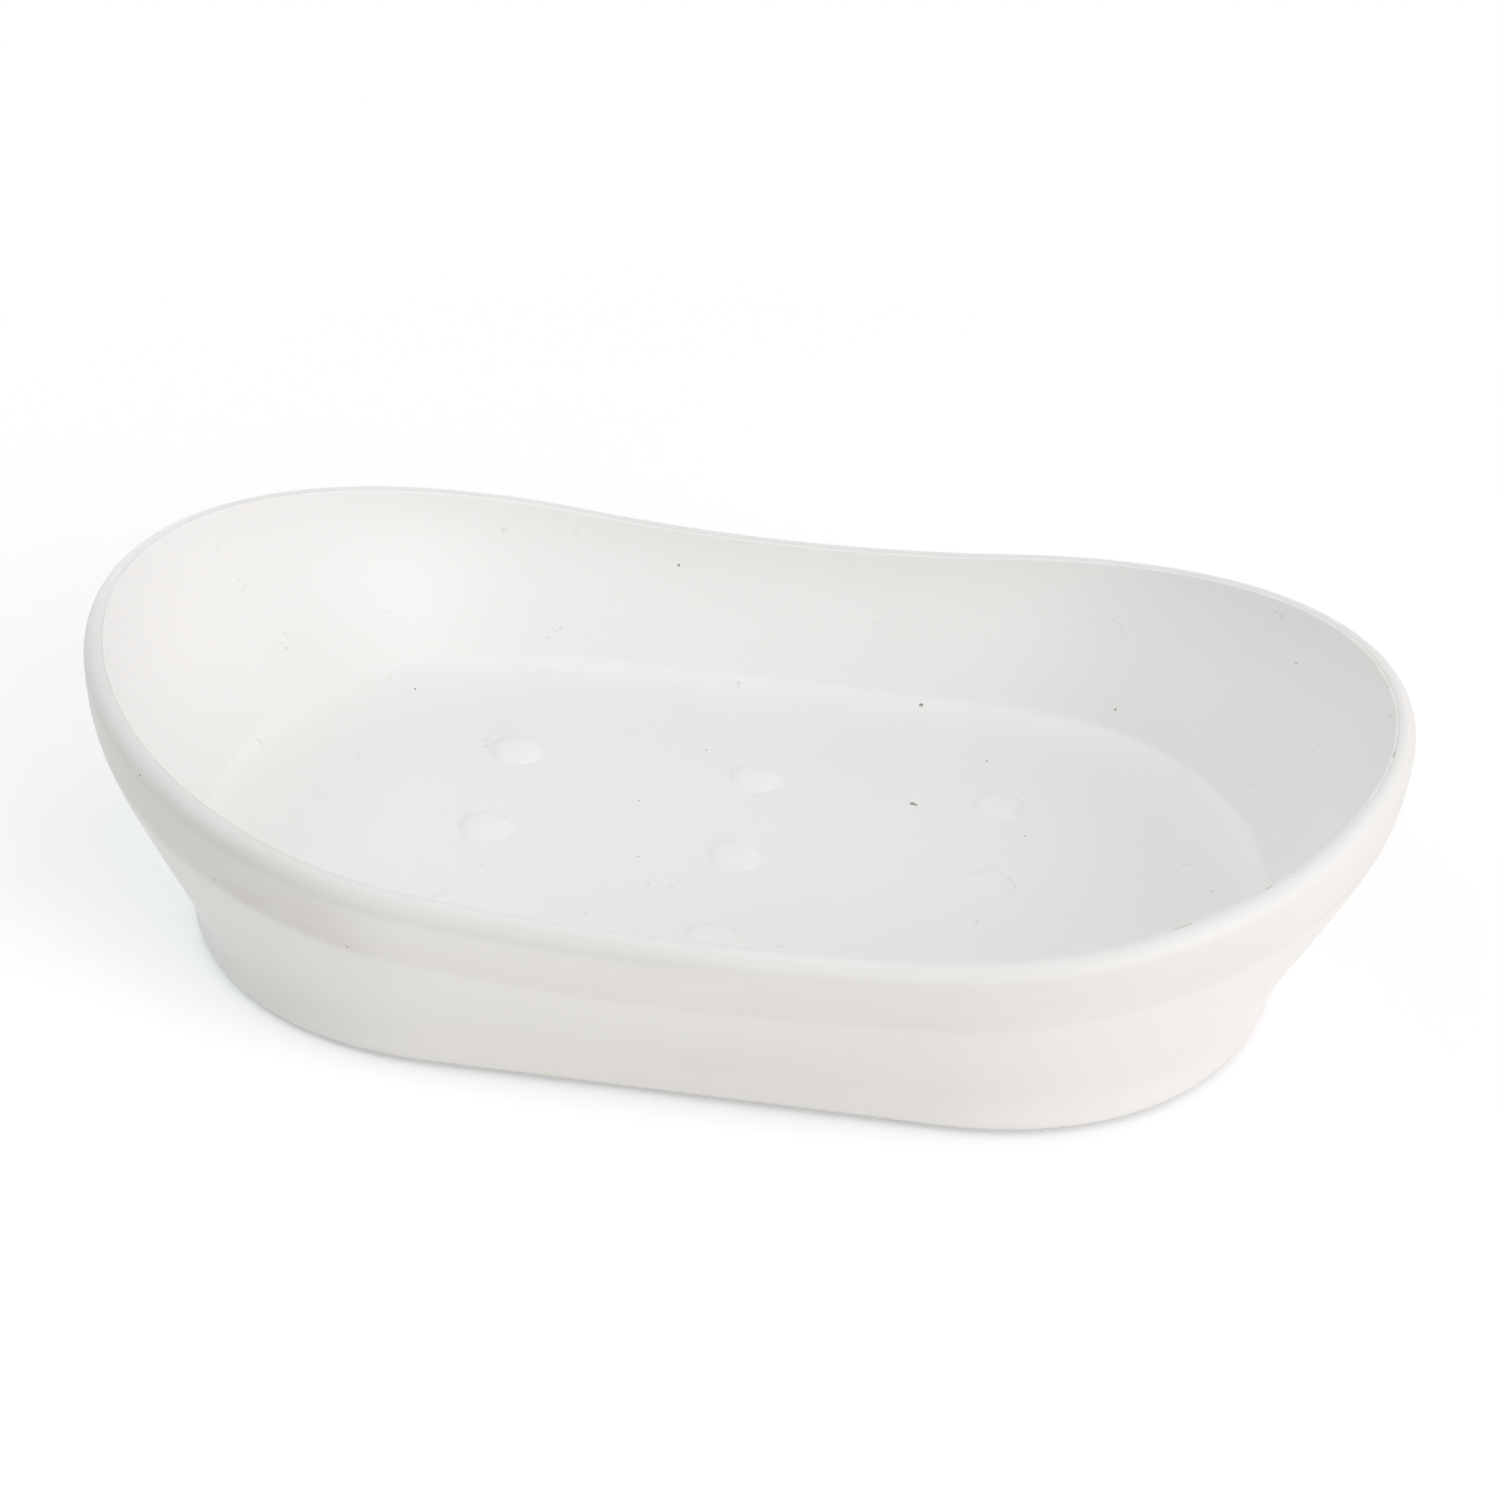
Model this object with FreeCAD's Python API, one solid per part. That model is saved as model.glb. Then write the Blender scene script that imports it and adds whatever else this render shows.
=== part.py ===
import FreeCAD, Part
import math
import os

os.makedirs("parts", exist_ok=True)

# Sizes of the dish in millimetres, seen from outside
rim_length = 140.0
rim_width = 88.0
end_height = 33.0
side_height = 23.5
foot_length = 119.0
foot_width = 73.0

# Wall: an upright band above the foot, a straight flare and an upright lip below the rim, with a
# soft bend between them. Each bend reaches about twice its softness up and down the wall
foot_band_height = 4.0
foot_bend_softness = 0.8
lip_height = 6.5
lip_bend_softness = 1.5
foot_edge_chamfer = 0.8

# How squarely the foot turns its corners beyond an ellipse
foot_fullness = 0.02

# Thicknesses of the two shells and the gap between their walls
shell_thickness = 1.7
joint_gap = 0.25
liner_thickness = 1.25

# Stack of flat layers from the table up to the floor of the dish
foot_clearance = 0.5
recess_depth = 2.0
base_thickness = 1.8
liner_floor_thickness = 1.7
floor_fillet = 5.0

# Domes on the floor, three rows of three
dome_diameter = 6.2
dome_height = 1.4
dome_pitch_long = 28.0
dome_pitch_cross = 16.6

# Underside: ring around the recess, and four pads in shallow round pockets
foot_ring_width = 4.0
pad_diameter = 10.0
pad_side_clearance = 0.3
pocket_depth = 0.4
pad_from_end = 21.0
pad_from_side = 13.0

# Levels and widths that follow from the sizes above
foot_level = foot_clearance
foot_bend_level = foot_level + foot_band_height
recess_level = foot_level + recess_depth
pad_top = recess_level + pocket_depth
base_top = recess_level + base_thickness
floor_level = base_top + liner_floor_thickness
rim_thickness = shell_thickness + joint_gap + liner_thickness
crest_radius = rim_thickness / 2
straight_half = (rim_length - rim_width) / 2
foot_turn = 2 * foot_bend_softness
lip_turn = 2 * lip_bend_softness

# Counts of stations around one end and along one side
end_station_count = 20
side_station_count = 8

# Counts of bands, straight from ring to ring, that follow each stretch of wall
flare_step_count = 3
crest_step_count = 3
corner_step_count = 4


def perimeter_stations():
    """Places around the dish as pairs: which end of the straight side, and the turn around that end."""
    stations = []
    for end in (1, -1):
        first_turn = -90.0 if end == 1 else 90.0
        for step in range(end_station_count):
            stations.append((float(end), first_turn + 180.0 * step / end_station_count))
        for step in range(side_station_count):
            stations.append((end * (1.0 - 2.0 * step / side_station_count), first_turn + 180.0))
    return stations


def plan_point(station, half_length, half_width, fullness):
    """Point of an outline with straight sides and round ends that fill out at their corners."""
    end, turn = station
    angle = math.radians(turn)
    bulge = 1 + fullness * math.sin(2 * angle) ** 2
    x = end * straight_half + (half_length - straight_half) * math.cos(angle) * bulge
    y = half_width * math.sin(angle) * bulge
    return x, y


def rim_top(station):
    """Height of the rim: a parabola that is low at the long sides and high at both ends."""
    x, y = plan_point(station, rim_length / 2, rim_width / 2, 0.0)
    return side_height + (end_height - side_height) * (2 * x / rim_length) ** 2


def soft_ramp(distance, softness):
    """Zero below a bend and the distance itself above it, with a soft turn between the two."""
    return softness * math.log1p(math.exp(distance / softness))


def flare_share(station, z):
    """Share of the whole flare that the wall has reached at height z: 0 at the foot, 1 at the rim."""
    top = rim_top(station)

    def reached(height):
        above_foot_bend = soft_ramp(height - foot_bend_level, foot_bend_softness)
        above_lip_bend = soft_ramp(height - top + lip_height, lip_bend_softness)
        return above_foot_bend - above_lip_bend

    start = reached(foot_level)
    return (reached(z) - start) / (reached(top - crest_radius) - start)


def wall_point(station, z, inset):
    """Point on the wall at height z, moved in from the outside by inset."""
    flare = flare_share(station, z)
    half_length = (foot_length + (rim_length - foot_length) * flare) / 2 - inset
    half_width = (foot_width + (rim_width - foot_width) * flare) / 2 - inset
    fullness = foot_fullness * (1 - flare)
    x, y = plan_point(station, half_length, half_width, fullness)
    return FreeCAD.Vector(x, y, z)


def crest_point(station, turn):
    """Point on the round top of the rim: turn 0 is its outer side, 180 its inner side."""
    shoulder = rim_top(station) - crest_radius
    inset = crest_radius * (1 - math.cos(math.radians(turn)))
    lift = crest_radius * math.sin(math.radians(turn))
    point = wall_point(station, shoulder, inset)
    point.z = shoulder + lift
    return point


stations = perimeter_stations()


def ring_parameters():
    """Lengths along the rim, shared by all rings so that they line up in a loft."""
    points = [wall_point(place, rim_top(place) - crest_radius, 0.0) for place in stations]
    points.append(points[0])
    lengths = [0.0]
    for before, after in zip(points, points[1:]):
        lengths.append(lengths[-1] + before.distanceToPoint(after))
    return lengths


parameters = ring_parameters()


def ring(point_of_station):
    """Closed smooth curve through one point for each station."""
    points = [point_of_station(place) for place in stations]
    curve = Part.BSplineCurve()
    curve.interpolate(Points=points, PeriodicFlag=True, Parameters=parameters)
    return Part.Wire(curve.toShape())


def level_ring(z, inset):
    """Ring around the wall at one height."""
    return ring(lambda place: wall_point(place, z, inset))


def rim_ring(depth, inset):
    """Ring around the wall that follows the rim at a depth below its top."""
    return ring(lambda place: wall_point(place, rim_top(place) - depth, inset))


def crest_ring(turn):
    return ring(lambda place: crest_point(place, turn))


def crest_turn(inset):
    """Turn on the round top of the rim at which a given inset is reached."""
    return math.degrees(math.acos(1 - inset / crest_radius))


def even_steps(first, last, count):
    return [first + (last - first) * step / count for step in range(count + 1)]


def skin(rings):
    """Faces from ring to ring, straight across each band and smooth along it."""
    return Part.makeLoft(rings, False, True).Faces


def closed_solid(faces):
    shell = Part.makeShell(faces)
    shell.sewShape()
    solid = Part.makeSolid(shell)
    if solid.Volume < 0:
        solid.reverse()
    return solid


def foot_band_rings():
    """Rings of the foot: its chamfered lower edge and the upright band up to the foot bend."""
    chamfer_low = level_ring(foot_level, foot_edge_chamfer)
    chamfer_high = level_ring(foot_level + foot_edge_chamfer, 0.0)
    below_bend = level_ring(foot_bend_level - foot_turn, 0.0)
    return [chamfer_low, chamfer_high, below_bend]


def flare_rings(lowest, inset):
    """Rings of the straight flare, from a lowest level up to where the wall turns into the lip."""
    rings = []
    for share in even_steps(0.0, 1.0, flare_step_count):
        def point(place):
            highest = rim_top(place) - lip_height - lip_turn
            return wall_point(place, lowest + share * (highest - lowest), inset)
        rings.append(ring(point))
    return rings


def hidden_wall_rings(inset):
    """Rings of a wall inside the joint, from the base of the shell up to the top of the rim."""
    lip = rim_ring(lip_height - lip_turn, inset)
    top = crest_ring(crest_turn(inset))
    return flare_rings(base_top, inset) + [lip, top]


def shell_body():
    """Outside wall, round rim, inner side of the wall and the flat base with its recess."""
    foot = foot_band_rings()
    flare = flare_rings(foot_bend_level + foot_turn, 0.0)
    lip = [rim_ring(lip_height - lip_turn, 0.0)]
    crest = [crest_ring(turn) for turn in even_steps(0.0, crest_turn(shell_thickness), crest_step_count)]
    inside = hidden_wall_rings(shell_thickness)
    recess_low = level_ring(foot_level, foot_ring_width)
    recess_high = recess_low.translated(FreeCAD.Vector(0, 0, recess_depth))
    faces = skin(foot + flare + lip + crest)
    faces += skin(inside)
    faces.append(Part.Face(inside[0]))
    faces.append(Part.makeFace([foot[0], recess_low], "Part::FaceMakerBullseye"))
    faces += skin([recess_low, recess_high])
    faces.append(Part.Face(recess_high))
    return closed_solid(faces)


def pad_places():
    """Names and centres of the four pads under the foot."""
    x = foot_length / 2 - foot_ring_width - pad_from_end
    y = foot_width / 2 - foot_ring_width - pad_from_side
    places = {}
    for cross_name, cross in (("front", -1), ("rear", 1)):
        for long_name, along in (("left", -1), ("right", 1)):
            places[cross_name + "_" + long_name] = FreeCAD.Vector(along * x, cross * y, 0)
    return places


def pad_pocket(centre):
    """Room for a pad, from the table up to the top of its pocket in the base."""
    return Part.makeCylinder(pad_diameter / 2 + pad_side_clearance, pad_top, centre)


def outer_shell():
    pockets = [pad_pocket(centre) for centre in pad_places().values()]
    return shell_body().cut(pockets).Solids[0]


def floor_corner_rings():
    """Rings of the soft corner between the floor and the inner wall, from the floor up."""
    rings = []
    for turn in even_steps(90.0, 0.0, corner_step_count):
        inset = rim_thickness + floor_fillet * (1 - math.cos(math.radians(turn)))
        z = floor_level + floor_fillet * (1 - math.sin(math.radians(turn)))
        rings.append(level_ring(z, inset))
    return rings


def liner_body():
    """Thin bowl that stands with its flat floor on the base of the shell."""
    outer_inset = shell_thickness + joint_gap
    corner = floor_corner_rings()
    lip = [rim_ring(depth, rim_thickness) for depth in (lip_height + lip_turn, lip_height - lip_turn)]
    crest = [crest_ring(turn) for turn in even_steps(180.0, crest_turn(outer_inset), crest_step_count)]
    outside = hidden_wall_rings(outer_inset)
    faces = skin(corner + lip + crest)
    faces += skin(outside)
    faces.append(Part.Face(corner[0]))
    faces.append(Part.Face(outside[0]))
    return closed_solid(faces)


def dome(x, y):
    """Low round cap of a ball, standing on the floor."""
    radius = dome_diameter / 2
    ball_radius = (radius ** 2 + dome_height ** 2) / (2 * dome_height)
    centre = FreeCAD.Vector(x, y, floor_level + dome_height - ball_radius)
    ball = Part.makeSphere(ball_radius, centre)
    above_floor = Part.makeCylinder(ball_radius, dome_height, FreeCAD.Vector(x, y, floor_level))
    return ball.common(above_floor)


def inner_liner():
    domes = []
    for column in (-1, 0, 1):
        for row in (-1, 0, 1):
            domes.append(dome(column * dome_pitch_long, row * dome_pitch_cross))
    return liner_body().fuse(domes).Solids[0]


def foot_pad(centre):
    """Soft disc between the table and the top of its pocket, standing a little proud of the foot."""
    return Part.makeCylinder(pad_diameter / 2, pad_top, centre)


pieces = {
    "outer_shell": outer_shell(),
    "inner_liner": inner_liner(),
}
for name, centre in pad_places().items():
    pieces["foot_pad_" + name] = foot_pad(centre)

for name, shape in pieces.items():
    shape.exportStep("parts/" + name + ".step")
    print(name, shape.ShapeType, shape.isValid(), round(shape.Volume, 1), len(shape.Faces), shape.BoundBox)
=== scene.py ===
# %% [markdown]
# A soap dish with two shells
#
# The dish is a small tub of satin white plastic. An outer shell flares up from an upright foot to a
# round rim, and a thin liner with nine low domes sits inside it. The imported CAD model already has
# both as solids. Here they are built again as fine smooth meshes, because a rim this soft shows
# every facet, and the four rubber pads stay as the CAD has them.

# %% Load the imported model
import bpy
import bmesh
import math
from mathutils import Matrix, Vector


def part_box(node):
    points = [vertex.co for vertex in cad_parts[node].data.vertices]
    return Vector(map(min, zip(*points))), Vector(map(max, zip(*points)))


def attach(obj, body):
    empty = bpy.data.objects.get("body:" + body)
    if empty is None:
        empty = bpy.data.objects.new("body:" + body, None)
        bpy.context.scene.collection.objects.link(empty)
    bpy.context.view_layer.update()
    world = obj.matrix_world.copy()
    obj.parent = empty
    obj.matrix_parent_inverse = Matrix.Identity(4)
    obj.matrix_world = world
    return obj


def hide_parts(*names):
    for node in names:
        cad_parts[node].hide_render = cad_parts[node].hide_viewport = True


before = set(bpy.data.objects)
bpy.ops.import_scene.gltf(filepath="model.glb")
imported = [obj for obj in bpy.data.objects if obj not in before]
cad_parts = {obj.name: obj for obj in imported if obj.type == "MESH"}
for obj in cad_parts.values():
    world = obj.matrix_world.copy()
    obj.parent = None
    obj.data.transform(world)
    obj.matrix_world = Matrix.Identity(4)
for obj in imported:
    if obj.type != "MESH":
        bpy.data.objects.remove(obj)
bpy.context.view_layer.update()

MM = 0.001


print("CAD nodes:", sorted(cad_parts))

# %% [markdown]
# The sizes
#
# These are the CAD model's own sizes, in metres, so the meshes land where the solids are. Blender
# could also read them off the bounding boxes, but a wall with a bend in it needs more than a box.
# At the joint, the liner's edge and the floor's corner the mesh is finer than the solid. The sizes
# of those places follow in the cells that use them.

# %% Sizes of the dish
rim_length = 140.0 * MM
rim_width = 88.0 * MM
end_height = 33.0 * MM
side_height = 23.5 * MM
foot_length = 119.0 * MM
foot_width = 73.0 * MM
foot_fullness = 0.02
foot_level = 0.5 * MM
foot_bend_level = 4.5 * MM
foot_bend_softness = 0.8 * MM
lip_height = 6.5 * MM
lip_bend_softness = 1.5 * MM
rim_thickness = 3.2 * MM
crest_radius = rim_thickness / 2
straight_half = (rim_length - rim_width) / 2
print("straight part of each side in mm:", round(2 * straight_half / MM, 2))

# %% [markdown]
# The wall as a formula
#
# Every point of the dish is found from a station on its outline and a height. The outline has two
# straight sides and two round ends, the rim rises towards the ends as a parabola, and the wall
# steps outwards between two soft bends: one above the foot and one below the lip. A loft through
# drawn curves would do as well, but a formula lets the mesh be as fine as it needs to be.

# %% Outline, rim height and wall
END_STATIONS = 96
SIDE_STATIONS = 24


def outline_stations():
    """Pairs of a place along the straight side, from 1 to -1, and a turn around the end there."""
    places = []
    for end in (1, -1):
        first_turn = -math.pi / 2 * end
        for step in range(END_STATIONS):
            places.append((end, first_turn + math.pi * step / END_STATIONS))
        for step in range(SIDE_STATIONS):
            places.append((end * (1 - 2 * step / SIDE_STATIONS), first_turn + math.pi))
    return places


def plan_point(station, half_length, half_width, fullness):
    """Place on an outline of that size, seen from above."""
    along, turn = station
    bulge = 1 + fullness * math.sin(2 * turn) ** 2
    x = along * straight_half + (half_length - straight_half) * math.cos(turn) * bulge
    return x, half_width * math.sin(turn) * bulge


def rim_top(station):
    x, y = plan_point(station, rim_length / 2, rim_width / 2, 0)
    return side_height + (end_height - side_height) * (2 * x / rim_length) ** 2


def soft_ramp(distance, softness):
    """Zero below a bend and the distance itself above it, with a soft turn between the two."""
    return softness * math.log1p(math.exp(distance / softness))


def flare_share(station, z):
    """How much of the flare the wall has reached at a height: 0 at the foot, 1 at the rim."""
    top = rim_top(station)

    def reached(height):
        above_foot = soft_ramp(height - foot_bend_level, foot_bend_softness)
        return above_foot - soft_ramp(height - top + lip_height, lip_bend_softness)

    start = reached(foot_level)
    return (reached(z) - start) / (reached(top - crest_radius) - start)


def wall_point(station, z, inset):
    """Point of the wall at a height, moved in from the outside by an inset."""
    flare = flare_share(station, z)
    half_length = (foot_length + (rim_length - foot_length) * flare) / 2 - inset
    half_width = (foot_width + (rim_width - foot_width) * flare) / 2 - inset
    x, y = plan_point(station, half_length, half_width, foot_fullness * (1 - flare))
    return Vector((x, y, z))


def crest_point(station, turn):
    """Point on the round top of the rim: turn 0 is its outer side, half a turn its inner side."""
    shoulder = rim_top(station) - crest_radius
    point = wall_point(station, shoulder, crest_radius * (1 - math.cos(turn)))
    point.z = shoulder + crest_radius * math.sin(turn)
    return point


stations = outline_stations()
print("stations around the dish:", len(stations))

# %% [markdown]
# Rings and skins
#
# A ring is one closed row of points around the dish. A skin joins rings with quads, row after row,
# which keeps the mesh regular and its shading clean. A coarse cage with a subdivision surface would
# be shorter, but it would round the bends off by itself. Two numbers are stored with every point,
# the depth below the rim and the nearness to the joint between the shells, so that dirt can later
# settle where it does on the real dish.

# %% Helpers that build a skin from rings
CREASE_ANGLE = math.radians(40)


def steps(first, last, count):
    return [first + (last - first) * step / count for step in range(count + 1)]


def level_ring(z, inset):
    return [wall_point(place, z, inset) for place in stations]


def wall_ring(share, lowest, depth, inset):
    """Ring at a share of the way from a lowest level up to a depth below the rim."""
    ring = []
    for place in stations:
        highest = rim_top(place) - depth
        ring.append(wall_point(place, lowest + share * (highest - lowest), inset))
    return ring


def crest_ring(turn):
    return [crest_point(place, turn) for place in stations]


def crest_turn(inset):
    """Turn on the round top of the rim at which an inset is reached."""
    return math.acos(1 - inset / crest_radius)


class DishMesh:
    """Mesh in the making: rings of points, the faces between them and two numbers for every point."""

    def __init__(self):
        self.mesh = bmesh.new()
        self.below_rim = self.mesh.verts.layers.float.new("below_rim")
        self.joint = self.mesh.verts.layers.float.new("joint")

    def ring(self, points, joint=0.0):
        """Ring around the dish, with one point for every station."""
        made = []
        for place, point in zip(stations, points):
            vert = self.mesh.verts.new(point)
            vert[self.below_rim] = rim_top(place) - point.z
            vert[self.joint] = joint
            made.append(vert)
        return made

    def loop(self, points, depth):
        """Ring of any other number of points, all at one depth."""
        made = []
        for point in points:
            vert = self.mesh.verts.new(point)
            vert[self.below_rim] = depth
            made.append(vert)
        return made

    def strip(self, lower, upper):
        for index in range(len(lower)):
            after = (index + 1) % len(lower)
            self.mesh.faces.new((lower[index], lower[after], upper[after], upper[index]))

    def skin(self, rings):
        for lower, upper in zip(rings, rings[1:]):
            self.strip(lower, upper)

    def plate(self, outer, holes):
        """Flat face inside an outer ring, with round holes left open."""
        edges = []
        for ring in [outer] + holes:
            for index in range(len(ring)):
                pair = (ring[index], ring[(index + 1) % len(ring)])
                edges.append(self.mesh.edges.get(pair) or self.mesh.edges.new(pair))
        bmesh.ops.triangle_fill(self.mesh, use_beauty=True, edges=edges)

    def finish(self, name):
        """Blender object with smooth shading, apart from its sharp edges."""
        bmesh.ops.recalc_face_normals(self.mesh, faces=self.mesh.faces)
        data = bpy.data.meshes.new(name)
        self.mesh.to_mesh(data)
        self.mesh.free()
        data.shade_smooth()
        data.set_sharp_from_angle(angle=CREASE_ANGLE)
        piece = bpy.data.objects.new(name, data)
        bpy.context.scene.collection.objects.link(piece)
        print(name, "faces:", len(data.polygons))
        return piece


print("edges sharper than this stay sharp, in degrees:", round(math.degrees(CREASE_ANGLE)))

# %% [markdown]
# The joint in the rim
#
# Shell and liner meet on top of the rim in a line as fine as a hair. The CAD keeps a clear quarter
# of a millimetre there, which would show as a black slot, so here the shell reaches across it, and
# both meshes sink a little towards the line. A painted line would be simpler, but it would not
# catch the light. One small function gives this soft groove for both sides.

# %% Soft groove beside the joint
joint_inset = 2.0 * MM
joint_width = 0.006 * MM
joint_depth = 0.5 * MM
groove_reach = 0.1 * MM
groove_drop = 0.025 * MM
GROOVE_RINGS = 4


def joint_rings(body, side):
    """Rings from the rim's round top down a soft groove and into the joint. Side 1 is the liner."""
    edge = joint_inset + side * joint_width / 2
    rings = []
    for nearness in steps(0, 1, GROOVE_RINGS):
        turn = crest_turn(edge + side * groove_reach * (1 - nearness))
        sunk = Vector((0, 0, groove_drop * nearness ** 2))
        points = [point - sunk for point in crest_ring(turn)]
        rings.append(body.ring(points, joint=nearness))
    deep = Vector((0, 0, joint_depth))
    points = [point - deep for point in crest_ring(crest_turn(edge))]
    rings.append(body.ring(points, joint=1.0))
    return rings


print("joint lies at", round(joint_inset / MM, 3), "mm from the outside")

# %% [markdown]
# The outer shell
#
# From the table up, the shell is a hollow foot with a narrow standing ring, an upright band, the
# flare, the lip and the outer half of the rim. An open sheet would show the same from outside, but a
# closed mesh throws right shadows and survives an export. So the skin runs on over the rim and down
# the inner side, which is never seen, to the base.

# %% Build the outer shell
shell_thickness = 1.7 * MM
foot_edge_radius = 0.8 * MM
foot_ring_width = 4.0 * MM
recess_level = 2.5 * MM
base_top = 4.3 * MM
pad_radius = 5.0 * MM
pad_clearance = 0.3 * MM
pocket_depth = 0.4 * MM
HOLE_POINTS = 40
FOOT_EDGE_RINGS = 6
SHELL_WALL_RINGS = 48
CREST_RINGS = 20
HIDDEN_RINGS = 12


def circle(centre, radius, z, count):
    points = []
    for step in range(count):
        angle = 2 * math.pi * step / count
        x = centre.x + radius * math.cos(angle)
        y = centre.y + radius * math.sin(angle)
        points.append(Vector((x, y, z)))
    return points


def foot_edge_rings(body):
    """Rings of the rounded lower edge of the foot, from the standing ring outwards."""
    rings = []
    for turn in steps(0, math.pi / 2, FOOT_EDGE_RINGS):
        z = foot_level + foot_edge_radius * (1 - math.cos(turn))
        rings.append(body.ring(level_ring(z, foot_edge_radius * (1 - math.sin(turn)))))
    return rings


def pad_centres():
    centres = []
    for name in sorted(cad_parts):
        if name.startswith("foot_pad"):
            low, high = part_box(name)
            centres.append((low + high) / 2)
    return centres


def add_pocket(body, centre):
    """Shallow round pocket above one pad. Its mouth is returned as a hole for the plate around it."""
    radius = pad_radius + pad_clearance
    depth_below_rim = side_height - recess_level
    mouth = body.loop(circle(centre, radius, recess_level, HOLE_POINTS), depth_below_rim)
    top = body.loop(circle(centre, radius, recess_level + pocket_depth, HOLE_POINTS), depth_below_rim)
    body.strip(mouth, top)
    body.mesh.faces.new(top)
    return mouth


def build_outer_shell():
    body = DishMesh()
    edge = foot_edge_rings(body)
    wall_start = foot_level + foot_edge_radius
    wall_shares = steps(0, 1, SHELL_WALL_RINGS)[1:]
    wall = [body.ring(wall_ring(share, wall_start, crest_radius, 0)) for share in wall_shares]
    last_turn = crest_turn(joint_inset - joint_width / 2 - groove_reach)
    crest = [body.ring(crest_ring(turn)) for turn in steps(0, last_turn, CREST_RINGS)[1:-1]]
    joint = joint_rings(body, -1)
    inside_shares = steps(1, 0, HIDDEN_RINGS)
    inside = [body.ring(wall_ring(share, base_top, lip_height, shell_thickness)) for share in inside_shares]
    body.skin(edge + wall + crest + joint + inside)
    body.plate(inside[-1], [])
    recess_outline = level_ring(foot_level, foot_ring_width)
    recess_low = body.ring(recess_outline)
    recess_high = body.ring([Vector((point.x, point.y, recess_level)) for point in recess_outline])
    body.skin([edge[0], recess_low, recess_high])
    body.plate(recess_high, [add_pocket(body, centre) for centre in pad_centres()])
    return body.finish("dish_outer_shell")


outer_shell = build_outer_shell()

# %% [markdown]
# The inner liner and its domes
#
# The liner is one moulding: a thin round edge at the joint, the inner wall, a soft corner and a flat
# floor with nine domes in three rows. The wall thins out towards its edge, so that little more than
# the shell's round rim shows from above. The corner is long along the floor and short up the wall, so
# the floor rises gently before it turns. The domes lift the soap out of the water. Each is a cap of a
# ball that runs out onto the floor in a small soft edge, so its first ring of points is a hole in
# the floor's plate. Joining nine finished balls with a boolean would leave a hard, ragged edge.

# %% Build the inner liner
liner_edge_radius = 0.22 * MM
liner_edge_inset = joint_inset + joint_width / 2 + groove_reach
thinning_depth = 8.0 * MM
floor_level = 6.0 * MM
corner_height = 2.8 * MM
corner_reach = 9.5 * MM
floor_border = 0.4 * MM
liner_outside = 1.95 * MM
dome_radius = 3.1 * MM
dome_height = 1.4 * MM
dome_edge = 0.3 * MM
dome_softness = 0.035 * MM
dome_pitch_long = 28.0 * MM
dome_pitch_cross = 16.6 * MM
DOME_POINTS = 56
DOME_EDGE_RINGS = 10
DOME_CAP_RINGS = 8
LINER_EDGE_RINGS = 8
LINER_WALL_RINGS = 44
CORNER_RINGS = 20


def add_dome(body, centre):
    """Cap of a ball with a soft edge. Its lowest ring is returned as a hole for the floor's plate."""
    ball_radius = (dome_radius ** 2 + dome_height ** 2) / (2 * dome_height)
    cap_radius = dome_radius - dome_edge
    radii = steps(dome_radius + dome_edge, cap_radius, DOME_EDGE_RINGS)
    radii += steps(cap_radius, 0, DOME_CAP_RINGS)[1:-1]
    depth_below_rim = side_height - floor_level
    rings = []
    for radius in radii:
        cap = math.sqrt(ball_radius ** 2 - radius ** 2) - (ball_radius - dome_height)
        z = floor_level + soft_ramp(cap, dome_softness)
        rings.append(body.loop(circle(centre, radius, z, DOME_POINTS), depth_below_rim))
    body.skin(rings)
    body.mesh.faces.new(rings[-1])
    return rings[0]


def liner_edge_rings(body):
    """Rings of the small round edge, from the groove beside the joint over to the inner wall."""
    rings = []
    for turn in steps(0, math.pi / 2, LINER_EDGE_RINGS)[1:]:
        points = crest_ring(crest_turn(liner_edge_inset))
        inset = liner_edge_inset + liner_edge_radius * math.sin(turn)
        for place, point in zip(stations, points):
            point.xy = wall_point(place, rim_top(place) - crest_radius, inset).xy
            point.z -= liner_edge_radius * (1 - math.cos(turn))
        rings.append(body.ring(points))
    return rings


def liner_wall_ring(share):
    """Ring of the inner wall at a share of the way from the floor's corner up to the liner's edge."""
    lowest = floor_level + corner_height
    edge_drop = crest_radius * (1 - math.sin(crest_turn(liner_edge_inset))) + liner_edge_radius
    thinnest = liner_edge_inset + liner_edge_radius
    ring = []
    for place in stations:
        z = lowest + share * (rim_top(place) - edge_drop - lowest)
        depth = min((rim_top(place) - z) / thinning_depth, 1)
        thickened = depth * depth * (3 - 2 * depth)
        ring.append(wall_point(place, z, thinnest + (rim_thickness - thinnest) * thickened))
    return ring


def floor_corner_rings(body):
    """Rings of the soft corner, from the wall down to the flat floor, and a narrow flat border."""
    rings = []
    for turn in steps(0, math.pi / 2, CORNER_RINGS):
        inset = rim_thickness + corner_reach * (1 - math.cos(turn))
        rings.append(body.ring(level_ring(floor_level + corner_height * (1 - math.sin(turn)), inset)))
    rings.append(body.ring(level_ring(floor_level, rim_thickness + corner_reach + floor_border)))
    return rings


def dome_centres():
    centres = []
    for column in (-1, 0, 1):
        for row in (-1, 0, 1):
            centres.append(Vector((column * dome_pitch_long, row * dome_pitch_cross, 0)))
    return centres


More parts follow.
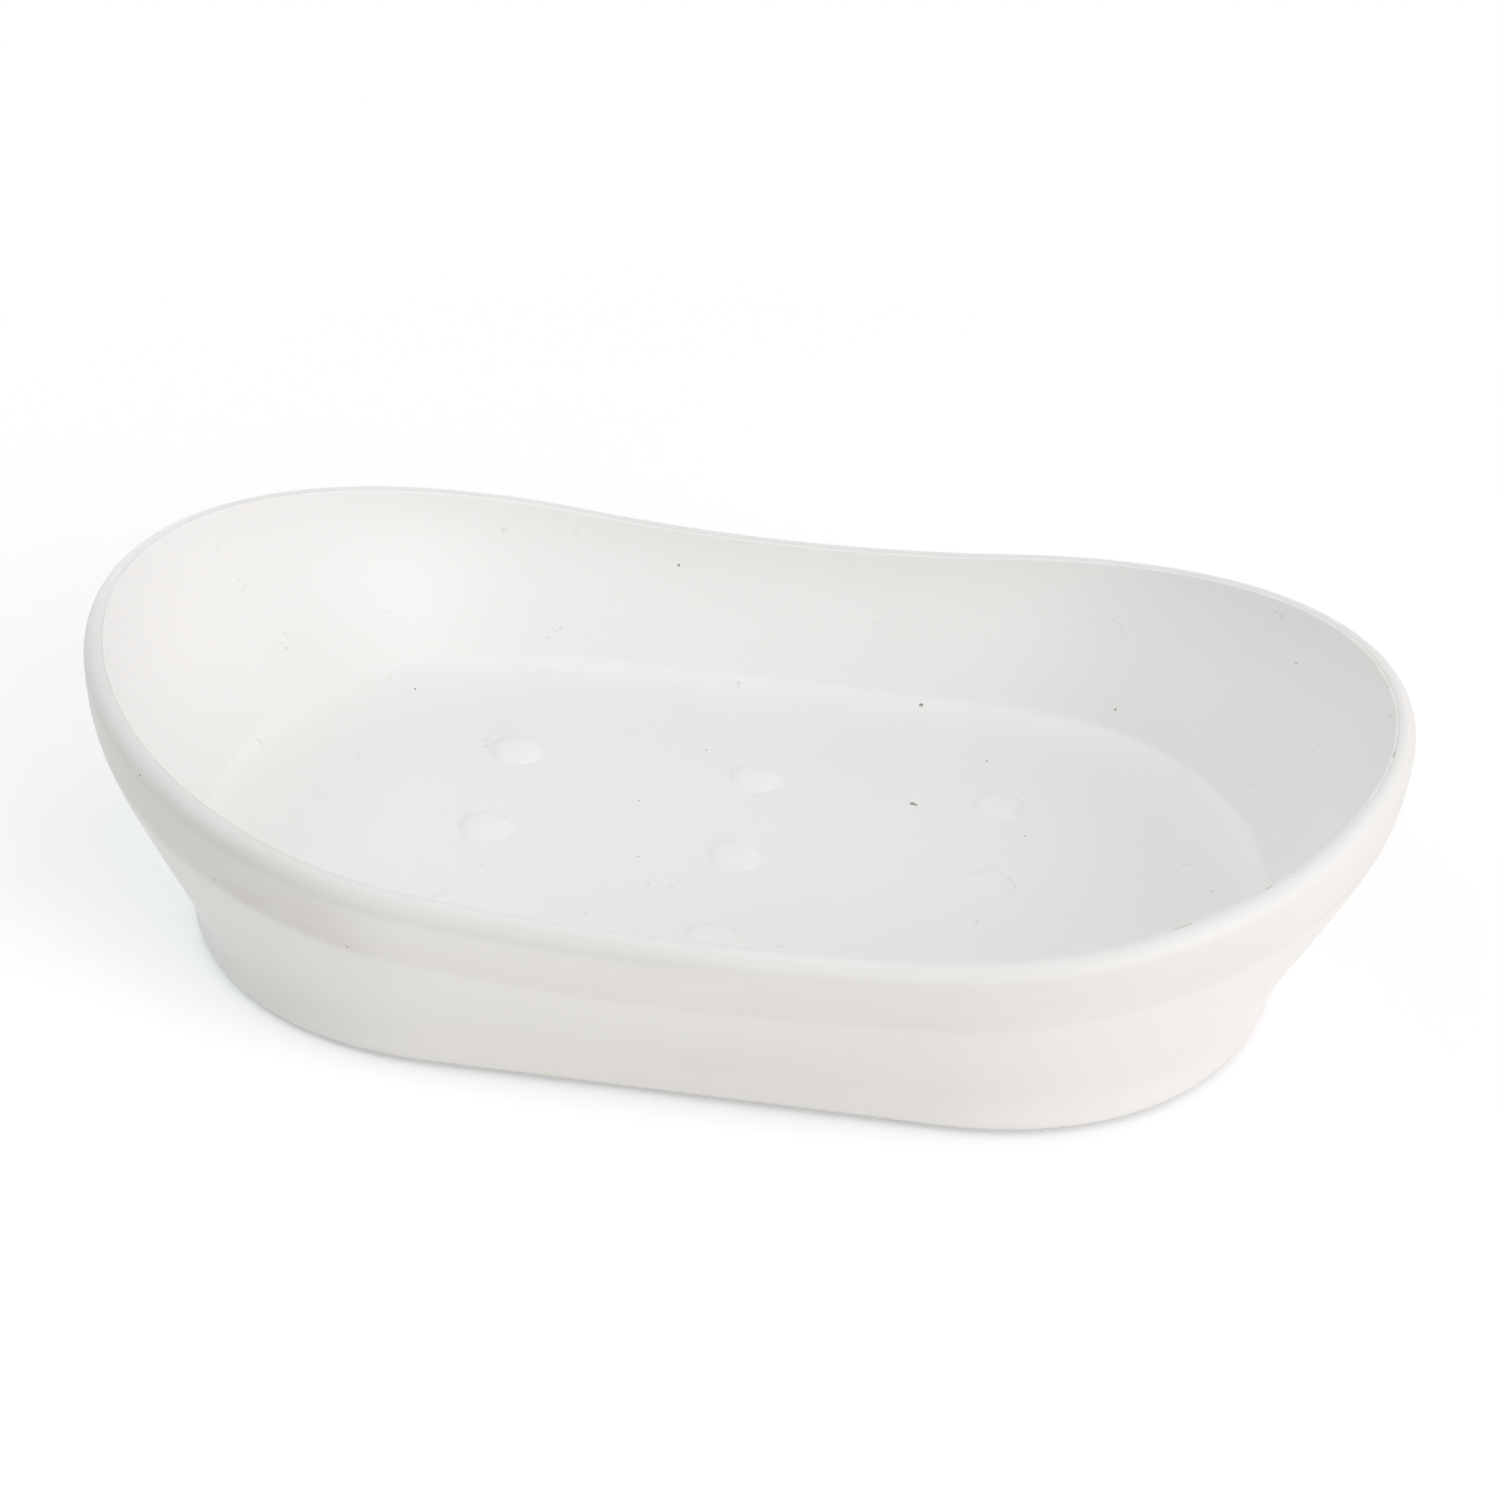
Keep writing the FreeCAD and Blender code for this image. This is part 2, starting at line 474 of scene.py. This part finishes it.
def build_inner_liner():
    body = DishMesh()
    outside_shares = steps(0, 1, HIDDEN_RINGS)
    outside = [body.ring(wall_ring(share, base_top, lip_height, liner_outside)) for share in outside_shares]
    joint = joint_rings(body, 1)
    edge = liner_edge_rings(body)
    wall = [body.ring(liner_wall_ring(share)) for share in steps(1, 0, LINER_WALL_RINGS)[1:-1]]
    corner = floor_corner_rings(body)
    body.skin(outside + joint[::-1] + edge + wall + corner)
    body.plate(outside[0], [])
    body.plate(corner[-1], [add_dome(body, centre) for centre in dome_centres()])
    return body.finish("dish_inner_liner")


inner_liner = build_inner_liner()

# %% [markdown]
# Shader maths in Python
#
# A material is a net of nodes, and small sums are tedious to wire by hand. This class wraps one
# socket and overloads the arithmetic, so that 1 - mask adds a Math node by itself. Everything else
# comes from its one node method, which sets a node's own settings first and then its sockets.

# %% A class that writes node trees
class Wire:
    """One socket of a node tree. Sums and products of wires and numbers add Math nodes."""

    def __init__(self, tree, socket=None):
        self.tree = tree
        self.socket = socket

    def node(self, kind, settings=None, sockets=None, output=0):
        """Any node: its type, its settings, then the values or links of its sockets."""
        made = self.tree.nodes.new(kind)
        for name, value in (settings or {}).items():
            setattr(made, name, value)
        for name, value in (sockets or {}).items():
            if isinstance(value, Wire):
                self.tree.links.new(value.socket, made.inputs[name])
            else:
                made.inputs[name].default_value = value
        return Wire(self.tree, made.outputs[output])

    def other(self, output):
        """Another output of the same node."""
        return Wire(self.tree, self.socket.node.outputs[output])

    def math(self, operation, first, second):
        return self.node("ShaderNodeMath", {"operation": operation}, {0: first, 1: second})

    def __add__(self, value):
        return self.math("ADD", self, value)

    def __radd__(self, value):
        return self.math("ADD", value, self)

    def __sub__(self, value):
        return self.math("SUBTRACT", self, value)

    def __rsub__(self, value):
        return self.math("SUBTRACT", value, self)

    def __mul__(self, value):
        return self.math("MULTIPLY", self, value)

    def __rmul__(self, value):
        return self.math("MULTIPLY", value, self)

    def __gt__(self, value):
        return self.math("GREATER_THAN", self, value)

    def __lt__(self, value):
        return self.math("LESS_THAN", self, value)

    def between(self, low, high):
        """0 below the low value, 1 above the high one and a soft step between them."""
        settings = {"interpolation_type": "SMOOTHSTEP"}
        return self.node("ShaderNodeMapRange", settings, {"Value": self, "From Min": low, "From Max": high})

    def away_from(self, point):
        """Distance of these coordinates from a point."""
        settings = {"operation": "DISTANCE"}
        return self.node("ShaderNodeVectorMath", settings, {0: self, 1: point}, "Value")


print("class for node trees:", Wire.__name__)

# %% [markdown]
# Small shader helpers
#
# Every finish of the dish is a plain colour with other colours laid over it through masks. So a few
# short functions come up again and again: a noise, a colour laid over another, and a new material
# with the coordinates of its object. Node groups could hold them too, but functions are easier to
# read and leave nothing behind in the file.

# %% Noise, tint and new materials
# Numbers of the sockets that a Mix node uses for colours
MIX_UNDER = 6
MIX_OVER = 7
MIX_RESULT = 2


def noise(place, per_metre, detail=2.0, roughness=0.5):
    """Soft noise with so many lumps to a metre."""
    sockets = {"Vector": place, "Scale": per_metre, "Detail": detail, "Roughness": roughness}
    return place.node("ShaderNodeTexNoise", {}, sockets)


def tint(place, under, colour, mask):
    """A colour laid over another one, or over the result of earlier tints, through a mask."""
    below = under if isinstance(under, Wire) else (*under, 1)
    sockets = {"Factor": mask, MIX_UNDER: below, MIX_OVER: (*colour, 1)}
    return place.node("ShaderNodeMix", {"data_type": "RGBA"}, sockets, MIX_RESULT)


def new_material(name):
    """Material with its Principled shader, and a wire with the coordinates of the object."""
    material = bpy.data.materials.new(name)
    material.use_nodes = True
    tree = material.node_tree
    place = Wire(tree).node("ShaderNodeTexCoord", output="Object")
    return material, tree.nodes["Principled BSDF"], place


def plug(wire, shader, socket):
    wire.tree.links.new(wire.socket, shader.inputs[socket])


print("shader helpers ready")

# %% [markdown]
# Satin white plastic
#
# The plastic is a soft, slightly warm white with a low gloss. A flat white would look like plaster,
# so the tone drifts a little over a few centimetres, the gloss varies where hands have rubbed it,
# and a very fine grain breaks the highlights. Shell and liner share these three layers.

# %% The plastic's tone, gloss and grain
plastic_white = (0.90, 0.90, 0.885)
plastic_shade = (0.85, 0.845, 0.825)
shade_strength = 0.3
plastic_roughness = 0.29
rubbed_roughness = 0.1
dirt_roughness = 0.3
grain_strength = 0.06
grain_height = 0.05 * MM
plastic_ior = 1.46


def plastic_base(place):
    """Colour of the clean plastic: two whites in slow drifting patches."""
    drift = noise(place, per_metre=22.0, detail=3.0).between(0.42, 0.72)
    return tint(place, plastic_white, plastic_shade, drift * shade_strength)


def plastic_gloss(place, shader, dirt):
    """Satin gloss that is duller in dirt, and a grain far finer than a fingertip feels."""
    rubbed = noise(place, per_metre=60.0, detail=4.0)
    plug(plastic_roughness + rubbed * rubbed_roughness + dirt * dirt_roughness, shader, "Roughness")
    grain = noise(place, per_metre=2600.0)
    sockets = {"Height": grain, "Strength": grain_strength, "Distance": grain_height}
    plug(place.node("ShaderNodeBump", {}, sockets), shader, "Normal")
    shader.inputs["IOR"].default_value = plastic_ior


print("roughness of the clean plastic:", plastic_roughness, "to", plastic_roughness + rubbed_roughness)

# %% [markdown]
# Specks and hairs
#
# A used dish carries dust: dark specks of a few sizes and short curly hairs of lint. Small specks
# are dots in the cells of a random pattern, which costs one node for hundreds of them. The few
# larger ones are blots at chosen places, with a ragged edge. The hairs are the thin contour lines
# of a noise, shown only where a second noise allows it, so none of this has to be modelled.

# %% Specks, blots and lint
smallest_speck = 0.4
ragged_least = 0.6
ragged_range = 0.8
contour_level = 0.5
hair_width = 0.007
hair_threshold = 0.69


def specks(place, cell_size, radius, share):
    """Sparse dark specks: one round dot in a share of the cells of a random pattern."""
    cells = place.node("ShaderNodeTexVoronoi", {}, {"Vector": place, "Scale": 1 / cell_size})
    chance = place.node("ShaderNodeSeparateColor", {}, {"Color": cells.other("Color")})
    size = radius / cell_size * (smallest_speck + chance.other("Green"))
    return (cells.other("Distance") < size) * (chance.other("Red") < share)


def blots(place, marks):
    """Blots with ragged edges at given places. A mark is x, y, z and a radius in millimetres."""
    ragged = ragged_least + noise(place, per_metre=2200.0, detail=1.0) * ragged_range
    covered = 0
    for x, y, z, radius in marks:
        away = place.away_from((x * MM, y * MM, z * MM))
        covered = covered + (away * ragged < radius * MM)
    return covered


def lint(place):
    """Short curly hairs: thin contour lines of one noise, kept only where another one is high."""
    off_contour = noise(place, per_metre=460.0, detail=1.0) - contour_level
    contour = place.node("ShaderNodeMath", {"operation": "ABSOLUTE"}, {0: off_contour}) < hair_width
    return contour * (noise(place, per_metre=240.0, detail=1.0) > hair_threshold)


print("specks grow from", smallest_speck, "to", 1 + smallest_speck, "times their given radius")

# %% [markdown]
# The liner's finish
#
# Inside, the dish is clean apart from the dust. Along the joint runs a thin brown line with a few
# darker dashes of old soap on the right front side. Both lie in the joint itself, so they follow
# the number that the mesh keeps for how deep a point lies in it. At the right end a thin yellowish
# film has dried on the liner's edge, which follows the depth below the rim instead. All this could
# be painted on an image, but numbers kept in the mesh stay sharp at any distance.

# %% Masks of the liner
film_place = (68.0, 8.0, 33.0)
joint_dashes = (
    (47.1, -36.4, 27.8, 1.0), (55.3, -30.7, 29.6, 0.6), (57.5, -28.3, 30.2, 0.4), (62.3, -22.2, 31.3, 0.4),
    (67.6, -8.0, 32.8, 0.7),
)


def near(place, spot, full, end):
    """1 up to a full distance from a spot, fading to 0 at an end distance, all in millimetres."""
    away = place.away_from([value * MM for value in spot])
    return 1 - away.between(full * MM, end * MM)


def stored(place, name):
    """A number that was stored with every point of the mesh."""
    return place.node("ShaderNodeAttribute", {"attribute_name": name}, output="Fac")


def joint_dirt(place):
    """Two masks for the joint: a thin line that comes and goes, and darker dashes here and there."""
    joint = stored(place, "joint")
    line = joint.between(0.1, 0.9) * noise(place, per_metre=45.0, detail=3.0).between(0.34, 0.62)
    return line, joint.between(0.0, 0.4) * blots(place, joint_dashes)


def dried_film(place):
    """Patchy film on the liner's edge, strongest at one place and fading out around it."""
    on_edge = 1 - stored(place, "below_rim").between(0.3 * MM, 1.0 * MM)
    patches = noise(place, per_metre=300.0, detail=3.0).between(0.35, 0.65)
    return near(place, film_place, full=3, end=16) * patches * on_edge


print("dashes in the joint:", len(joint_dashes))

# %% Material of the liner
speck_brown = (0.17, 0.12, 0.06)
lint_grey = (0.42, 0.41, 0.38)
joint_brown = (0.42, 0.30, 0.19)
film_yellow = (0.74, 0.58, 0.38)
film_strength = 0.15
lint_strength = 0.25
speck_strength = 0.5
mark_strength = 0.75
line_strength = 0.2
dash_strength = 0.5
speck_share = 0.2
floor_marks = (
    (18.2, 15.0, 6.0, 0.3), (18.6, 14.8, 6.0, 0.18), (25.9, 26.2, 6.05, 0.13), (31.3, 10.9, 6.0, 0.11),
    (52.2, 3.5, 6.3, 0.12), (-12.3, 9.0, 6.0, 0.11), (-10.4, -2.4, 6.0, 0.1), (-6.6, 21.5, 6.0, 0.12),
    (-42.5, 26.5, 6.8, 0.15),
)
wall_marks = (
    (17.3, 34.5, 7.8, 0.25), (40.1, 33.3, 10.8, 0.15), (-13.5, 41.0, 19.5, 0.17), (59.0, 23.5, 24.8, 0.12),
    (67.5, 2.2, 31.4, 0.16),
)


def liner_material():
    material, shader, place = new_material("satin_white_liner")
    line, dashes = joint_dirt(place)
    dust = specks(place, cell_size=6 * MM, radius=0.09 * MM, share=speck_share)
    marks = blots(place, floor_marks + wall_marks)
    colour = tint(place, plastic_base(place), film_yellow, dried_film(place) * film_strength)
    colour = tint(place, colour, lint_grey, lint(place) * lint_strength)
    colour = tint(place, colour, speck_brown, dust * speck_strength)
    colour = tint(place, colour, speck_brown, marks * mark_strength)
    colour = tint(place, colour, joint_brown, line * line_strength + dashes * dash_strength)
    plug(colour, shader, "Base Color")
    plastic_gloss(place, shader, line + dashes)
    return material


liner_finish = liner_material()
inner_liner.data.materials.append(liner_finish)
print("liner finish nodes:", len(liner_finish.node_tree.nodes))

# %% [markdown]
# The shell's finish
#
# The outside has a faint brown band below the rim that ends at the lip's bend. It is partly grime,
# as fingers lift a dish by its lip, and partly painted shade, which makes it strongest at the left
# end that faces away from the main light. There is also a thin line of dirt in that bend and a darker
# smear at the front left. Painted grey shade darkens the left end of the foot, the top of the rim at
# the left end and the rim's outer shoulder along the front. Most of this follows the depth below the
# rim that was stored with every point of the mesh, and a noise that is drawn out along the wall
# breaks it into streaks. Bands by height alone would be simpler, but they would not follow a rim
# that rises and falls.

# %% Masks of the outer shell
# The left end's place is the middle of the painted shade on the lip and on the rim.
left_end_shade_place = (-58.0, -28.0, 30.0)
right_hold = (rim_length / 2 / MM, 0.0, end_height / MM)
rim_front_shade_place = (-25.0, -44.0, 24.0)
foot_shade_place = (-54.0, -26.0, 2.0)
smear_places = ((-41.0, -41.0, 23.0, 9.0), (-34.5, -42.7, 20.0, 6.0))
smear_middle = 0.1
even_grime_and_shade = 0.3
broken_grime = 0.2
left_painted_shade = 0.55
right_grime = 0.4
left_crest_shade = 0.5


def depth_band(depth, rise, fall):
    """1 between two soft sides. Each side is a pair of depths below the rim in millimetres."""
    risen = depth.between(rise[0] * MM, rise[1] * MM)
    return risen * (1 - depth.between(fall[0] * MM, fall[1] * MM))


def streaks(place, along, up, roughness=0.6):
    """Noise drawn out along the wall: few lumps to a metre along it and more of them up it."""
    sockets = {0: place, 1: (along, along, up)}
    drawn_out = place.node("ShaderNodeVectorMath", {"operation": "MULTIPLY"}, sockets)
    return noise(drawn_out, per_metre=1.0, detail=4.0, roughness=roughness)


def lip_grime_and_shade(place, depth):
    """Band of grime and painted shade between the rim and the lip's bend, in long streaks."""
    band = depth_band(depth, rise=(-1.0, 0.4), fall=(6.6, 8.4))
    broken = streaks(place, along=40.0, up=200.0).between(0.4, 0.7)
    # Painted shade: the band grows darker towards the left end, which faces away from the main light.
    left = near(place, left_end_shade_place, full=8, end=42)
    right = near(place, right_hold, full=10, end=32)
    held_and_shaded = left * left_painted_shade + right * right_grime
    return band * (even_grime_and_shade + broken * broken_grime + held_and_shaded)


def bend_dirt(place, depth):
    """Thin broken line of dirt in the bend below the lip."""
    line = depth_band(depth, rise=(5.2, 7.0), fall=(7.0, 8.6))
    return line * streaks(place, along=60.0, up=300.0).between(0.46, 0.68)


def front_smears(place):
    """Smears that fade out from the middle. Each has a place and a reach in millimetres."""
    reached = 0
    for x, y, z, reach in smear_places:
        reached = reached + near(place, (x, y, z), full=smear_middle * reach, end=reach)
    return reached * streaks(place, along=55.0, up=170.0, roughness=0.5).between(0.32, 0.68)


def rim_painted_shade(place, depth):
    """Painted grey shade on top of the rim at the left end, and on its outer shoulder along the front."""
    crest = 1 - depth.between(0.6 * MM, 2.5 * MM)
    left = near(place, left_end_shade_place, full=8, end=42)
    shoulder = depth_band(depth, rise=(-0.15, 0.35), fall=(0.8, 3.0))
    front = near(place, rim_front_shade_place, full=8, end=48)
    return left * crest * left_crest_shade + front * shoulder


print("smears on the front:", len(smear_places))

# %% Material of the outer shell
grime_and_shade_brown = (0.48, 0.455, 0.41)
smear_brown = (0.36, 0.27, 0.17)
# Grey of the painted shade on the foot and on the rim.
painted_shade_grey = (0.45, 0.46, 0.43)
grime_and_shade_strength = 0.25
foot_shade_strength = 0.1
rim_shade_strength = 0.2
bend_strength = 0.05
smear_strength = 0.25
grime_dullness = 0.3
shell_marks = ((-55.8, -32.2, 28.4, 0.14), (-32.3, -42.9, 18.5, 0.12), (-46.7, -38.3, 21.3, 0.1))


def shell_material():
    material, shader, place = new_material("satin_white_shell")
    depth = stored(place, "below_rim")
    grime_and_shade = lip_grime_and_shade(place, depth)
    line, dashes = joint_dirt(place)
    # Painted grey shade on the left end of the foot, which faces away from the main light.
    foot_painted_shade = near(place, foot_shade_place, full=6, end=34)
    dust = specks(place, cell_size=7 * MM, radius=0.1 * MM, share=speck_share)
    # Brown band below the rim: partly grime, partly painted shade, darkest at the left end.
    colour = tint(place, plastic_base(place), grime_and_shade_brown, grime_and_shade * grime_and_shade_strength)
    # The foot's painted shade is laid over the band.
    colour = tint(place, colour, painted_shade_grey, foot_painted_shade * foot_shade_strength)
    # Painted grey shade on the rim's top at the left end and on its outer shoulder at the front.
    colour = tint(place, colour, painted_shade_grey, rim_painted_shade(place, depth) * rim_shade_strength)
    colour = tint(place, colour, smear_brown, bend_dirt(place, depth) * bend_strength)
    colour = tint(place, colour, smear_brown, front_smears(place) * grime_and_shade * smear_strength)
    colour = tint(place, colour, speck_brown, dust * speck_strength)
    colour = tint(place, colour, speck_brown, blots(place, shell_marks) * mark_strength)
    colour = tint(place, colour, joint_brown, line * line_strength + dashes * dash_strength)
    plug(colour, shader, "Base Color")
    plastic_gloss(place, shader, line + grime_and_shade * grime_dullness)
    return material


shell_finish = shell_material()
outer_shell.data.materials.append(shell_finish)
print("shell finish nodes:", len(shell_finish.node_tree.nodes))

# %% [markdown]
# Rubber pads
#
# The four pads under the foot are plain discs of soft rubber. They could be built again as the
# shells were, but the CAD solids are already right, so they only get a finish: a dull white, a
# little grey where it has picked up dust, with fine pores.

# %% Material of the pads
rubber_white = (0.70, 0.70, 0.68)
rubber_grey = (0.48, 0.46, 0.42)
rubber_dust_strength = 0.6
rubber_roughness = 0.6
dull_roughness = 0.25
pore_strength = 0.2
pore_depth = 0.1 * MM


def rubber_material():
    material, shader, place = new_material("pad_rubber")
    dusty = noise(place, per_metre=320.0, detail=4.0).between(0.45, 0.75)
    plug(tint(place, rubber_white, rubber_grey, dusty * rubber_dust_strength), shader, "Base Color")
    plug(rubber_roughness + noise(place, per_metre=700.0) * dull_roughness, shader, "Roughness")
    pores = noise(place, per_metre=1500.0, detail=3.0)
    sockets = {"Height": pores, "Strength": pore_strength, "Distance": pore_depth}
    plug(place.node("ShaderNodeBump", {}, sockets), shader, "Normal")
    return material


rubber_finish = rubber_material()
for name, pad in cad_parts.items():
    if name.startswith("foot_pad"):
        pad.data.materials.clear()
        pad.data.materials.append(rubber_finish)
print("rubber finish nodes:", len(rubber_finish.node_tree.nodes))

# %% [markdown]
# Joining the frame
#
# Each new mesh rides on the CAD's only body and stands in for the node that it replaces, which is
# hidden.

# %% Tie the meshes to the CAD frame
for piece, node, slot in ((outer_shell, "outer_shell", "shell"), (inner_liner, "inner_liner", "liner")):
    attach(piece, "root")
    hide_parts(node)
    print(piece.name, "stands for", node)

# %% [markdown]
# The camera
#
# The camera was fitted to the photograph's outline: a long lens a third of a metre from the dish,
# standing a little to the right of its front, looking down by a third of a right angle and tipped
# by three degrees. A constraint could aim it, but a matrix made from its three axes also holds the
# tip. The image is square, and the small shifts put the dish where the photograph has it.

# %% Camera at the photograph's place
IMAGE_PIXELS = 1500.0
focal_pixels = 2959.67
image_centre = (741.14, 747.12)
camera_distance = 318.80 * MM
camera_elevation = 31.064
camera_azimuth = 6.656
camera_roll = math.radians(3.068)
camera_target = Vector((0, 0, 20 * MM))


def direction(azimuth, elevation):
    """Unit vector from the dish towards a place around it, in degrees. The front is at azimuth 0."""
    turn = math.radians(azimuth)
    flat = math.cos(math.radians(elevation))
    return Vector((math.sin(turn) * flat, -math.cos(turn) * flat, math.sin(math.radians(elevation))))


lens = bpy.data.cameras.new("photo_camera")
lens.sensor_width = 36.0
lens.lens = focal_pixels * lens.sensor_width / IMAGE_PIXELS
lens.shift_x = (IMAGE_PIXELS / 2 - image_centre[0]) / IMAGE_PIXELS
lens.shift_y = (image_centre[1] - IMAGE_PIXELS / 2) / IMAGE_PIXELS
lens.clip_start = 10 * MM
camera = bpy.data.objects.new("photo_camera", lens)
bpy.context.scene.collection.objects.link(camera)

back = direction(camera_azimuth, camera_elevation)
level_right = direction(camera_azimuth + 90, 0)
level_up = back.cross(level_right)
right = math.cos(camera_roll) * level_right + math.sin(camera_roll) * level_up
up = math.cos(camera_roll) * level_up - math.sin(camera_roll) * level_right
turned = Matrix((right, up, back)).transposed().to_4x4()
camera.matrix_world = Matrix.Translation(camera_target + back * camera_distance) @ turned
bpy.context.scene.camera = camera
print("lens in mm:", round(lens.lens, 2))

# %% [markdown]
# Floor and background
#
# The floor is a plain pale sheet. To the camera it also glows a little, so that it reads as white
# paper and only the soft shadow under the dish stays, while the light it throws back onto the dish
# is that of an ordinary pale table. The glow is slightly blue, because the sheet itself is creamy.
# Beyond the reach of the shadow, a hand's width from the dish, the sheet is shown as plain white.
# Brighter lamps would whiten the sheet too, but they would bleach the dish with it.

# %% White floor that keeps the shadow
floor_size = 3.0
floor_pale = (0.88, 0.86, 0.83, 1)
glow_cool = (0.85, 0.92, 1.0, 1)
floor_glow = 0.3
shadow_end = 0.1
white_start = 0.2
plain_white = {"Color": (1, 1, 1, 1), "Strength": 1.0}

half = floor_size / 2
corners = [(-half, -half, 0), (half, -half, 0), (half, half, 0), (-half, half, 0)]
sheet = bpy.data.meshes.new("floor")
sheet.from_pydata(corners, [], [(0, 1, 2, 3)])
floor = bpy.data.objects.new("floor", sheet)
bpy.context.scene.collection.objects.link(floor)


def seen_directly(start):
    """1 for what the camera, a gloss or a glass shows, 0 for light that falls on the dish."""
    path = start.node("ShaderNodeLightPath", output="Is Camera Ray")
    shown = path.math("MAXIMUM", path, path.other("Is Glossy Ray"))
    return path.math("MAXIMUM", shown, path.other("Is Transmission Ray"))


def floor_material():
    material, shader, place = new_material("pale_floor")
    tree = material.node_tree
    tree.nodes.remove(shader)
    paper = place.node("ShaderNodeBsdfDiffuse", {}, {"Color": floor_pale})
    glow = place.node("ShaderNodeEmission", {}, {"Color": glow_cool, "Strength": floor_glow})
    lit = place.node("ShaderNodeAddShader", {}, {0: paper, 1: glow})
    white = place.node("ShaderNodeEmission", {}, plain_white)
    far = place.away_from((0, 0, 0)).between(shadow_end, white_start)
    shown = place.node("ShaderNodeMixShader", {}, {0: far, 1: lit, 2: white})
    both = place.node("ShaderNodeMixShader", {}, {0: seen_directly(place), 1: paper, 2: shown})
    plug(both, tree.nodes["Material Output"], "Surface")
    return material


sheet.materials.append(floor_material())
print("floor made, metres across:", floor_size)

# %% [markdown]
# Light
#
# The strongest light is a wide window low at the right, so the left inner wall glows and the outer
# left end falls into shade. A small cool lamp stands above it. A smaller, bluer window stands high at
# the left, and pale walls and the ceiling of the room throw the rest back from the other sides. Square
# lamps stand for all of these, as soft boxes would in a studio. Their strengths and colours were set
# together, by the shades on the dish, so one of them alone can look odd. One even sky would be
# simpler, but it leaves the dish without shade.

# %% Lamps around the dish
lamp_distance = 0.9


def lamp(name, azimuth, elevation, size, watts, colour):
    """Square soft lamp that looks at the dish from a direction in degrees. Its size is in metres."""
    light = bpy.data.lights.new(name, "AREA")
    light.size = size
    light.energy = watts
    light.color = colour
    made = bpy.data.objects.new(name, light)
    bpy.context.scene.collection.objects.link(made)
    towards = direction(azimuth, elevation)
    made.location = camera_target + towards * lamp_distance
    made.rotation_euler = towards.to_track_quat("Z", "Y").to_euler()


lamp("window_right", 62, 26, 0.8, 2.4, (0.96, 0.94, 1.0))
lamp("window_right_front", 45, 18, 0.6, 1.7, (1.0, 0.93, 0.9))
lamp("lamp_right", 55, 54, 0.3, 0.6, (0.82, 0.87, 1.0))
lamp("window_left", 290, 54, 0.45, 1.4, (0.72, 0.84, 1.0))
lamp("room_front_high", 0, 62, 0.7, 0.4, (0.96, 1.0, 0.4))
lamp("room_front_low", 0, 12, 0.7, 1.1, (1.0, 0.95, 0.94))
lamp("room_back_left", 225, 25, 0.7, 1.5, (1.0, 0.98, 0.98))
lamp("room_left", 270, 30, 0.7, 0.9, (0.99, 1.0, 0.91))
lamp("room_back_right", 135, 30, 0.7, 1.8, (1.0, 0.93, 0.9))
lamp("room_above", 0, 88, 0.7, 1.3, (1.0, 0.97, 0.98))
print("lamps:", [item.name for item in bpy.data.lights])

# %% [markdown]
# The room
#
# A real room also sends a little light from everywhere, which fills the deepest shade. More lamps
# could give it, but a dim white world has no edges that a gloss would show. The camera and the
# glosses see that world as white, as they see the far floor.

# %% World and view
room_fill = {"Color": (1.0, 1.0, 1.0, 1), "Strength": 0.175}


def room_light():
    """Even soft light from all around, which the camera sees as white."""
    world = bpy.data.worlds.new("soft_room")
    world.use_nodes = True
    bpy.context.scene.world = world
    tree = world.node_tree
    tree.nodes.clear()
    start = Wire(tree)
    fill = start.node("ShaderNodeBackground", {}, room_fill)
    white = start.node("ShaderNodeBackground", {}, plain_white)
    both = start.node("ShaderNodeMixShader", {}, {0: seen_directly(start), 1: fill, 2: white})
    plug(both, tree.nodes.new("ShaderNodeOutputWorld"), "Surface")


room_light()
bpy.context.scene.view_settings.view_transform = "Standard"
print("world:", bpy.context.scene.world.name)
